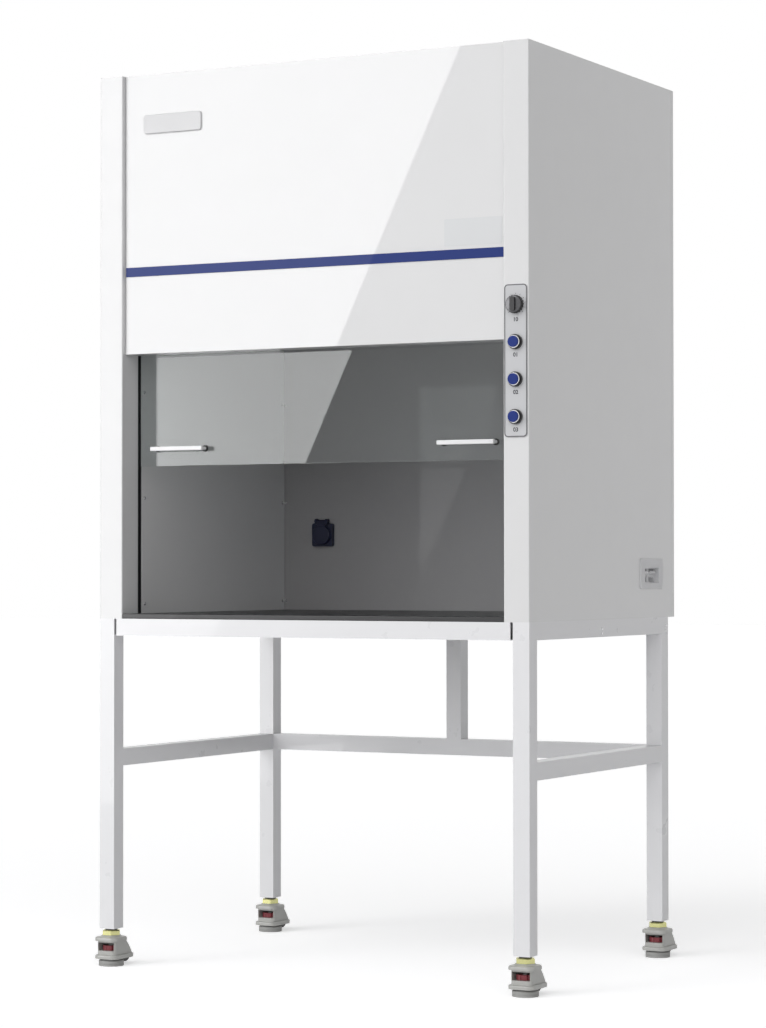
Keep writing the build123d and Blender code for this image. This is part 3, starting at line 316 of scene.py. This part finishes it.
def worktop_material():
    """Dark epoxy resin with a fine pale fleck."""
    tree = Finish("dark_resin")
    fleck = tree.add("ShaderNodeTexVoronoi")
    fleck.inputs["Scale"].default_value = FLECK_SCALE
    tree.link(tree.place(), fleck.inputs["Vector"])
    dots = tree.math("LESS_THAN", fleck.outputs["Distance"], FLECK_R)
    tree.give(
        Base_Color=tree.mix_colour(dots, *RESIN_TONES),
        Roughness=tree.ranged(tree.noise(RESIN_SMEAR_SCALE), *RESIN_ROUGH),
    )
    tree.bump(tree.noise(RESIN_SKIN["scale"]), RESIN_SKIN["bump"], RESIN_SKIN["depth"])
    return tree.material


# Where the two-tone pieces change finish: the pulls at their washers, the knob at its skirt, the
# control bodies behind their collars, where the black also covers the rear of each collar as
# painted shade, and the casters' stems between hexagon and lock nut
PULL_SPLIT = glass_lo.y - 0.0031
KNOB_SPLIT = plate_lo.y - 0.0135
# Behind this split the collars' rear part is painted black as shade
COLLAR_SHADE_SPLIT = plate_lo.y - 0.0100
NUT_SPLIT = 0.0881

BLACK = (0.012, 0.012, 0.012)
# Black moulding; on the collars it also stands for painted shade
BLACK_MOULDING_AND_SHADE = ((0.010, 0.010, 0.011), 0.35, 0.0)

WHITE = coated("white_powder_coat", (0.70, 0.70, 0.705), rough=0.45, vary=0.012, coat=0.9,
               peel=0.03, sheen=0.25)
STAND = coated("stand_powder_coat", (0.75, 0.75, 0.765), rough=0.30, vary=0.012, coat=0.3,
               peel=0.05)
BLUE = coated("blue_enamel", (0.014, 0.034, 0.185), rough=0.35, vary=0.03, coat=0.1, sheen=0.1)
# The side liners have the same grey lining as the rear and ceiling, painted lighter as a lit copy;
# the rear and ceiling copy is the shaded one
SIDE_LINING_PAINTED_LIGHTER = coated("lining_painted_lighter", (0.64, 0.64, 0.645), rough=0.45, vary=0.02, coat=1.0,
                     peel=0.004, sheen=0.1)
LINING = coated("grey_lining", (0.33, 0.325, 0.333), rough=0.45, vary=0.02, coat=0.12, peel=0.004,
                sheen=0.1)
RESIN = worktop_material()
GLASS = sash_glass()
GUIDE = coated("black_guide", (0.012, 0.012, 0.014), rough=0.45, vary=0.1)
ALUMINIUM = brushed("drawn_aluminium", (0.83, 0.84, 0.85), stretch=(40, 1, 1))
NYLON = coated("cast_nylon", (0.70, 0.68, 0.62), rough=0.4, vary=0.03)
STEEL = brushed("galvanised_steel", (0.52, 0.53, 0.55), rough=0.38, vary=0.16, stretch=(1, 1, 1),
                scale=35.0)
CABLE = brushed("steel_cable", (0.45, 0.46, 0.47), rough=0.3, stretch=(300, 300, 60))
WEIGHT = coated("weight_paint", (0.05, 0.055, 0.06), rough=0.5, vary=0.1, peel=0.2)
LAMP = coated("lamp_opal", (0.82, 0.82, 0.80), rough=0.35, vary=0.01)
MOTOR = coated("motor_paint", (0.06, 0.075, 0.10), rough=0.38, vary=0.08, peel=0.3,
               peel_scale=250.0)
PLATE = coated("satin_plate", (0.53, 0.535, 0.55), rough=0.40, vary=0.02, peel=0.02)
BADGE = coated("satin_badge", (0.64, 0.64, 0.65), rough=0.42, vary=0.02, peel=0.02)
HANDLES = two_tone_and_shade("handle_and_washers", "Y", PULL_SPLIT,
                   ((0.80, 0.80, 0.81), 0.22, 0.0), (BLACK, 0.5, 0.0))
KNOB = two_tone_and_shade("knob_and_grip", "Y", KNOB_SPLIT,
                ((0.018, 0.018, 0.020), 0.30, 0.0), BLACK_MOULDING_AND_SHADE)
DIAL = coated("knob_dial", (0.10, 0.10, 0.105), rough=0.28, vary=0.05, metal=0.6)
# Chrome collar fronts; the collars' rear part is painted black as shade, and the bodies behind the
# plate are black mouldings
COLLARS_AND_PAINTED_SHADE = two_tone_and_shade("collar_painted_shade_and_body", "Y", COLLAR_SHADE_SPLIT,
                   ((0.80, 0.80, 0.83), 0.12, 1.0), BLACK_MOULDING_AND_SHADE)
CAPS = coated("blue_cap", (0.008, 0.028, 0.20), rough=0.38, vary=0.06, coat=0.05, sheen=0.15)
ISOLATOR = coated("isolator_moulding", (0.64, 0.64, 0.655), rough=0.35, vary=0.03)
TOGGLE = coated("toggle_moulding", (0.72, 0.72, 0.73), rough=0.3, vary=0.03)
SOCKET = coated("socket_moulding", (0.008, 0.011, 0.040), rough=0.32, vary=0.1)
ZINC = two_tone_and_shade("zinc_and_nut", "Z", NUT_SPLIT,
                ((0.56, 0.55, 0.26), 0.25, 1.0), ((0.02, 0.02, 0.02), 0.4, 0.0))
CAST = coated("cast_housing", (0.42, 0.42, 0.40), rough=0.33, vary=0.06, coat=0.2, peel=0.25,
              peel_scale=320.0)
WHEEL = coated("black_nylon", BLACK, rough=0.42, vary=0.1)
THUMB = coated("red_thumbwheel", (0.20, 0.020, 0.030), rough=0.38, vary=0.08)
PAD = coated("grey_pad", (0.33, 0.33, 0.32), rough=0.55, vary=0.05, peel=0.3, peel_scale=300.0)
SCREW = brushed("stainless_screw", (0.62, 0.62, 0.63), rough=0.25, stretch=(8, 8, 8))
LABEL = coated("blank_label", (0.62, 0.63, 0.64), rough=0.35, vary=0.01)
MARK = coated("printed_mark", (0.05, 0.05, 0.06), rough=0.5, vary=0.02)
BORDER = coated("plate_border", (0.11, 0.11, 0.12), rough=0.45, vary=0.05)

FINISHES = {
    "left_side_panel": WHITE, "right_side_panel": WHITE, "rear_panel": WHITE, "roof_panel": WHITE,
    "front_fascia": WHITE, "blue_trim_strip": BLUE, "work_surface": RESIN,
    "left_liner": SIDE_LINING_PAINTED_LIGHTER, "right_liner": SIDE_LINING_PAINTED_LIGHTER, "rear_liner": LINING,
    "ceiling_liner": LINING, "sash_guides": GUIDE, "sash_glass": GLASS, "sash_handles": HANDLES,
    "sash_clamp_rail": ALUMINIUM, "left_sash_pulley": NYLON, "right_sash_pulley": NYLON,
    "pulley_brackets": STEEL, "counterweights": WEIGHT, "sash_side_cables": CABLE,
    "weight_side_cables": CABLE, "lamp": LAMP, "blower_scroll": STEEL, "suction_box": STEEL,
    "blower_motor": MOTOR, "blower_wheel": STEEL, "exhaust_spigot": STEEL, "control_plate": PLATE,
    "control_bodies": COLLARS_AND_PAINTED_SHADE, "speed_knob": KNOB, "top_button": CAPS, "middle_button": CAPS,
    "bottom_button": CAPS, "isolator_box": ISOLATOR, "breaker_toggle": TOGGLE,
    "socket_base": SOCKET, "socket_lid": SOCKET, "stand_legs": STAND, "stand_front_rail": STAND,
    "stand_side_rails": STAND, "stand_rear_frame": STAND, "caster_stems": ZINC,
}
CASTER_FINISHES = {"housing": CAST, "wheel": WHEEL, "thumbwheel": THUMB, "pad": PAD}


def dress_nodes():
    """Gives every CAD node its finish."""
    for name, piece in nodes.items():
        finish = FINISHES.get(name) or CASTER_FINISHES[name.rsplit("_", 1)[1]]
        piece.data.materials.clear()
        piece.data.materials.append(finish)


# Drawing helpers


SHARP_ANGLE = math.radians(35)


def piece_from(name, mesh_maker, material, body=None):
    """A new object whose mesh a function draws with bmesh, riding on a body where one is named."""
    mesh = bpy.data.meshes.new(name)
    drawing = bmesh.new()
    mesh_maker(drawing)
    drawing.to_mesh(mesh)
    drawing.free()
    mesh.materials.append(material)
    piece = bpy.data.objects.new(name, mesh)
    bpy.context.scene.collection.objects.link(piece)
    if body:
        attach(piece, body)
    return piece


def outline_plate(drawing, corners, thickness, normal, rim):
    """A plate on a closed outline, with a bevelled front edge where rim isn't 0."""
    face = drawing.faces.new([drawing.verts.new(corner) for corner in corners])
    face.normal_update()
    if face.normal.dot(normal) < 0:
        face.normal_flip()
    raised = bmesh.ops.extrude_face_region(drawing, geom=[face])
    moved = [item for item in raised["geom"] if isinstance(item, bmesh.types.BMVert)]
    bmesh.ops.translate(drawing, verts=moved, vec=normal * thickness)
    bmesh.ops.recalc_face_normals(drawing, faces=drawing.faces)
    front = [edge for edge in drawing.edges if all(vertex in moved for vertex in edge.verts)]
    if rim:
        bmesh.ops.bevel(drawing, geom=front, offset=rim, segments=2, profile=0.5, affect="EDGES")


def rounded_outline(centre, across, up, width, height, radius, steps=6):
    """The corners of a rounded rectangle."""
    points = []
    for corner, (sx, sy) in enumerate(((1, 1), (-1, 1), (-1, -1), (1, -1))):
        for step in range(steps + 1):
            angle = math.radians(90 * corner + 90 * step / steps)
            x = sx * (width / 2 - radius) + radius * math.cos(angle)
            y = sy * (height / 2 - radius) + radius * math.sin(angle)
            points.append(centre + across * x + up * y)
    return points


def join_rings(drawing, rings, closed=False):
    """Faces between neighbouring rings, which close into a loop or have their ends capped."""
    for low, high in zip(rings, rings[1:] + rings[:1] if closed else rings[1:]):
        for step in range(len(low)):
            following = (step + 1) % len(low)
            drawing.faces.new((low[step], low[following], high[following], high[step]))
    if not closed:
        drawing.faces.new(rings[0][::-1])
        drawing.faces.new(rings[-1])


def lathe(drawing, profile, centre, axis, steps):
    """Spins (radius, distance along the axis) points into a closed round solid."""
    turn = UP.rotation_difference(axis).to_matrix()
    rings = []
    for radius, reach in profile:
        ring = []
        for step in range(steps):
            angle = 2 * math.pi * step / steps
            local = Vector((radius * math.cos(angle), radius * math.sin(angle), reach))
            ring.append(drawing.verts.new(centre + turn @ local))
        rings.append(ring)
    join_rings(drawing, rings)


def smooth(piece):
    """Smooth shading that keeps sharp edges."""
    for face in piece.data.polygons:
        face.use_smooth = True
    piece.data.set_sharp_from_angle(angle=SHARP_ANGLE)


# Screws and bolts: their places are in metres, FRONT + y being a distance from the casing's front


SCREW_R = 0.0042
BOLT_R = 0.0032
HEAD_STEPS = 20
# A pan head as (radius, height), both as shares of its full radius
HEAD_PROFILE = ((1, 0), (1, 0.25), (0.8, 0.5), (0.4, 0.6), (0.05, 0.62))

LINER_LEVELS = (("low", 0.894), ("mid", 1.158), ("high", 1.422))
LINER_DEPTHS = (("front", FRONT + 0.102), ("rear", FRONT + 0.7895))
LINER_CORNER_INSET = 0.0055
BOLT_LEVELS = (("low", 0.8245), ("high", 0.836))
BOLT_DEPTHS = (("mid", FRONT + 0.410), ("rear", FRONT + 0.806))
REAR_ROWS = 6
REAR_ROW_FOOT = 0.93
REAR_ROW_STEP = 0.235
REAR_ROW_INSET = 0.012


def screw_head(name, place, axis, radius):
    """A pan head standing on a surface of the frame."""
    profile = [(radius * share, radius * rise) for share, rise in HEAD_PROFILE]

    def draw(drawing):
        lathe(drawing, profile, place, axis, HEAD_STEPS)
    smooth(piece_from(name, draw, SCREW, "frame"))


def liner_screws():
    """The screws that hold the lining. The photograph shows the low and middle ones on the left;
    the high ones and the right side repeat them."""
    sides = (("left", left_liner_hi.x, ACROSS), ("right", right_liner_lo.x, -ACROSS))
    for level, z in LINER_LEVELS:
        for side, x, axis in sides:
            for depth, y in LINER_DEPTHS:
                screw_head(f"screw_{side}_{depth}_{level}", Vector((x, y, z)), axis, SCREW_R)
            inset = Vector((x + axis.x * LINER_CORNER_INSET, rear_liner_lo.y, z))
            screw_head(f"screw_rear_{side}_{level}", inset, TO_FRONT, SCREW_R)


def rail_bolts():
    """Low bolt heads on the right and left top side rails."""
    for side, x, axis in (("right", HALF_W, ACROSS), ("left", -HALF_W, -ACROSS)):
        for place, y in BOLT_DEPTHS:
            for level, z in BOLT_LEVELS:
                screw_head(f"rail_bolt_{side}_{place}_{level}", Vector((x, y, z)), axis, BOLT_R)


def rear_screws():
    """A row of screws up both edges of the rear cover."""
    for row in range(REAR_ROWS):
        z = REAR_ROW_FOOT + row * REAR_ROW_STEP
        for side, letter in ((-1, "l"), (1, "r")):
            place = Vector((side * (HALF_W - REAR_ROW_INSET), BACK, z))
            screw_head(f"rear_screw_{row}_{letter}", place, TO_BACK, SCREW_R)


# Plates on the fascia and the line round the control plate, in metres; a PLACE is (x, z)


BADGE_PLACE = (-0.383, 2.0765)
BADGE_SIZE = (0.166, 0.047)
BADGE_CORNER = 0.008
BADGE_T = 0.005
BADGE_RIM = 0.002
LABEL_PLACE = (0.439, 1.765)
LABEL_SIZE = (0.150, 0.064)
LABEL_CORNER = 0.003
LABEL_T = 0.0006
LABEL_RIM = 0.0002
BORDER_CORNER = 0.009
BORDER_W = 0.0026
BORDER_T = 0.0004


def fascia_plate(name, material, place, size, corner, thickness, rim):
    """A bare plate on the fascia, with bevelled edges."""
    centre = Vector((place[0], fascia_lo.y, place[1]))
    corners = rounded_outline(centre, ACROSS, UP, *size, corner)

    def draw(drawing):
        outline_plate(drawing, corners, thickness, TO_FRONT, rim)
    piece_from(name, draw, material, "frame")


def fascia_plates():
    """The raised plate high on the left, and the label above the blue strip on the right."""
    fascia_plate("badge_plate", BADGE, BADGE_PLACE, BADGE_SIZE, BADGE_CORNER, BADGE_T, BADGE_RIM)
    fascia_plate("rating_label", LABEL, LABEL_PLACE, LABEL_SIZE, LABEL_CORNER, LABEL_T, LABEL_RIM)


def plate_border():
    """The dark line round the control plate's edge."""
    centre = (plate_lo + plate_hi) / 2
    centre.y = plate_lo.y
    width = plate_hi.x - plate_lo.x
    height = plate_hi.z - plate_lo.z

    def draw(drawing):
        rings = []
        for inset, lift in ((0.0, 0.0), (0.0, BORDER_T), (BORDER_W, BORDER_T), (BORDER_W, 0.0)):
            points = rounded_outline(centre + TO_FRONT * lift, ACROSS, UP, width - 2 * inset,
                                     height - 2 * inset, BORDER_CORNER - inset)
            rings.append([drawing.verts.new(point) for point in points])
        join_rings(drawing, rings, closed=True)
        bmesh.ops.recalc_face_normals(drawing, faces=drawing.faces)
    piece_from("plate_border", draw, BORDER, "frame")


# Marks on the control plate and the knob's dial, in metres and degrees


NUMBER_SIZE = 0.013
NUMBER_T = 0.0001
NUMBER_WEIGHT = 0.03
NUMBER_DROP = 0.030
KNOB_NUMBER_DROP = 0.005
MARK_T = 0.0002
TICKS = 11
FIRST_TICK = 225
TICK_STEP = 27
TICK_R = 0.0232
TICK_LENGTH = 0.003
TICK_HALF_W = 0.0004
KNOB_SKIRT = 0.014
DIAL_R = 0.0195
DIAL_EDGE = 0.0004
DIAL_CHAMFER = 0.0008
DIAL_STEPS = 48


def number(name, text, x, z):
    """A small printed number on the control plate."""
    curve = bpy.data.curves.new(name, "FONT")
    curve.body = text
    curve.size = NUMBER_SIZE
    curve.align_x = "CENTER"
    curve.align_y = "CENTER"
    curve.extrude = NUMBER_T
    curve.offset = NUMBER_SIZE * NUMBER_WEIGHT
    curve.materials.append(MARK)
    piece = bpy.data.objects.new(name, curve)
    bpy.context.scene.collection.objects.link(piece)
    place = Vector((x, plate_lo.y - MARK_T, z))
    piece.matrix_world = Matrix.Translation(place) @ Matrix.Rotation(math.radians(90), 4, "X")
    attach(piece, "frame")


def control_marks():
    """Plain numbers under the buttons and the knob, and ticks round the knob."""
    for place, name in enumerate(("top_button", "middle_button", "bottom_button")):
        low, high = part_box(name)
        middle = (low + high) / 2
        number(f"number_{place + 1}", f"0{place + 1}", middle.x, middle.z - NUMBER_DROP)
    middle = (knob_lo + knob_hi) / 2
    number("number_knob", "10", middle.x, middle.z - NUMBER_DROP - KNOB_NUMBER_DROP)

    def draw(drawing):
        for tick in range(TICKS):
            angle = math.radians(FIRST_TICK - TICK_STEP * tick)
            out = Vector((math.cos(angle), 0, math.sin(angle)))
            side = Vector((-out.z, 0, out.x)) * TICK_HALF_W
            start = Vector((middle.x, plate_lo.y - MARK_T, middle.z)) + out * TICK_R
            end = start + out * TICK_LENGTH
            corners = [start - side, start + side, end + side, end - side]
            outline_plate(drawing, corners, MARK_T, TO_FRONT, 0)
    piece_from("dial_ticks", draw, MARK, "frame")


def knob_dial():
    """The disc on the knob's skirt, round its grip."""
    centre = (knob_lo + knob_hi) / 2
    centre.y = plate_lo.y - KNOB_SKIRT
    profile = ((DIAL_R, 0), (DIAL_R, DIAL_EDGE), (DIAL_R - DIAL_CHAMFER, DIAL_CHAMFER))

    def draw(drawing):
        lathe(drawing, profile, centre, TO_FRONT, DIAL_STEPS)
    smooth(piece_from("knob_dial", draw, DIAL, "knob"))


# Cables, in metres


CABLE_R = 0.0015
CABLE_PITCH_R = 0.0275
CABLE_SIDES = 8
RUN_STEPS = 24
WRAP_STEPS = 16


def cable_runs(name):
    """A pair of cable runs that stretch between the frame, at the pulleys, and a body below."""
    low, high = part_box(name)
    length = high.z - low.z
    profile = [(CABLE_R, length * step / RUN_STEPS) for step in range(RUN_STEPS + 1)]

    def draw(drawing):
        for x in (low.x + CABLE_R, high.x - CABLE_R):
            foot = Vector((x, (low.y + high.y) / 2, low.z))
            lathe(drawing, profile, foot, UP, CABLE_SIDES)
    runs = piece_from(f"{name}_runs", draw, CABLE)
    smooth(runs)
    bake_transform(runs)
    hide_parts(name)


def cable_wrap(side):
    """The half turn of cable over one pulley."""
    low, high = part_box(f"{side}_sash_pulley")
    centre = (low + high) / 2

    def draw(drawing):
        rings = []
        for step in range(WRAP_STEPS + 1):
            angle = math.pi * step / WRAP_STEPS
            out = Vector((math.cos(angle), 0, math.sin(angle)))
            ring = []
            for turn in range(CABLE_SIDES):
                spin = 2 * math.pi * turn / CABLE_SIDES
                offset = (out * math.cos(spin) + TO_BACK * math.sin(spin)) * CABLE_R
                ring.append(drawing.verts.new(centre + out * CABLE_PITCH_R + offset))
            rings.append(ring)
        join_rings(drawing, rings)
    smooth(piece_from(f"{side}_cable_wrap", draw, CABLE, "frame"))


# Stage and light


FLOOR_SIZE = 60
FLOOR_CENTRE = (0, 10, 0)
FLOOR_TONE = (0.93, 0.93, 0.94, 1.0)
FLOOR_ROUGH = 0.9
FLOOR_SHEEN = 0.1
FLOOR_LIFT = 0.50
CARD_Y = -4.6
CARD_W = 4.0
CARD_OVERRUN = 0.35
CARD_GLOW = 5.6
# Pixels on the slanting edge of the glare: high on the fascia and low on the casing's front
GLARE_TOP = (458.6, 49.4)
GLARE_BOTTOM = (214.0, 636.0)
SUN_TRAVEL = Vector((0.45, 0.75, -0.55))
SUN_WIDTH = math.radians(25)
SUN_STRENGTH = 0.42
WORLD_TONE = (1.0, 1.0, 1.0, 1.0)
WORLD_SEEN = 1.0
WORLD_STRENGTH = 0.01
LOBE_STRENGTH = 1.80
REAR_LOBE = 0.20
LOBE_TOWARDS = (0.0, -1.0, 0.0)


def make_floor():
    """A pale floor that keeps the shadows and meets the white surroundings."""
    bpy.ops.mesh.primitive_plane_add(size=FLOOR_SIZE, location=FLOOR_CENTRE)
    floor = bpy.context.object
    floor.name = "floor"
    tree = Finish("floor")
    tree.give(Base_Color=FLOOR_TONE, Roughness=FLOOR_ROUGH, Specular_IOR_Level=FLOOR_SHEEN)
    glow = tree.add("ShaderNodeEmission")
    tree.link(tree.math("MULTIPLY", tree.looked_at(), FLOOR_LIFT), glow.inputs["Strength"])
    total = tree.add("ShaderNodeAddShader")
    tree.link(tree.shader.outputs[0], total.inputs[0])
    tree.link(glow.outputs[0], total.inputs[1])
    tree.link(total.outputs[0], tree.output.inputs["Surface"])
    floor.data.materials.append(tree.material)


def make_card():
    """A bright card in front on the left: its slanting edge is mirrored in the glossy front."""
    top = mirror_ray(*GLARE_TOP, fascia_lo.y, CARD_Y)
    bottom = mirror_ray(*GLARE_BOTTOM, FRONT, CARD_Y)
    overrun = (top - bottom) * CARD_OVERRUN
    top = top + overrun
    bottom = bottom - overrun
    far = ACROSS * -CARD_W
    mesh = bpy.data.meshes.new("card")
    mesh.from_pydata([top, bottom, bottom + far, top + far], [], [(0, 1, 2, 3)])
    card = bpy.data.objects.new("card", mesh)
    bpy.context.scene.collection.objects.link(card)
    tree = Finish("card")
    glow = tree.add("ShaderNodeEmission")
    glow.inputs["Strength"].default_value = CARD_GLOW
    tree.link(glow.outputs[0], tree.output.inputs["Surface"])
    mesh.materials.append(tree.material)
    card.visible_camera = False
    card.visible_diffuse = False
    card.visible_shadow = False


def make_sun():
    """A soft key light from the upper left in front."""
    data = bpy.data.lights.new("key", "SUN")
    data.energy = SUN_STRENGTH
    data.angle = SUN_WIDTH
    key = bpy.data.objects.new("key", data)
    key.matrix_world = SUN_TRAVEL.to_track_quat("-Z", "Y").to_matrix().to_4x4()
    bpy.context.scene.collection.objects.link(key)


def make_surround():
    """A surround that looks even and white, and that lights the model mostly from the front."""
    world = bpy.data.worlds.new("surround")
    bpy.context.scene.world = world
    world.use_nodes = True
    tree = Nodes(world.node_tree)
    background = tree.tree.nodes["Background"]
    background.inputs["Color"].default_value = WORLD_TONE
    facing = tree.add("ShaderNodeVectorMath", operation="DOT_PRODUCT")
    facing.inputs[1].default_value = LOBE_TOWARDS
    tree.link(tree.add("ShaderNodeTexCoord").outputs["Generated"], facing.inputs[0])
    front = facing.outputs["Value"]
    lobe = tree.math("MAXIMUM", front, tree.math("MULTIPLY", front, -REAR_LOBE))
    lighting = tree.ranged(lobe, WORLD_STRENGTH, WORLD_STRENGTH + LOBE_STRENGTH, span=(0, 1))
    strength = tree.ranged(tree.looked_at(), lighting, WORLD_SEEN, span=(0, 1))
    tree.link(strength, background.inputs["Strength"])


make_camera()
dress_nodes()
liner_screws()
fascia_plates()
plate_border()
control_marks()
knob_dial()
cable_runs("sash_side_cables")
cable_runs("weight_side_cables")
cable_wrap("left")
cable_wrap("right")
rail_bolts()
rear_screws()
make_floor()
make_card()
make_sun()
make_surround()
bpy.context.scene.view_settings.view_transform = "Standard"
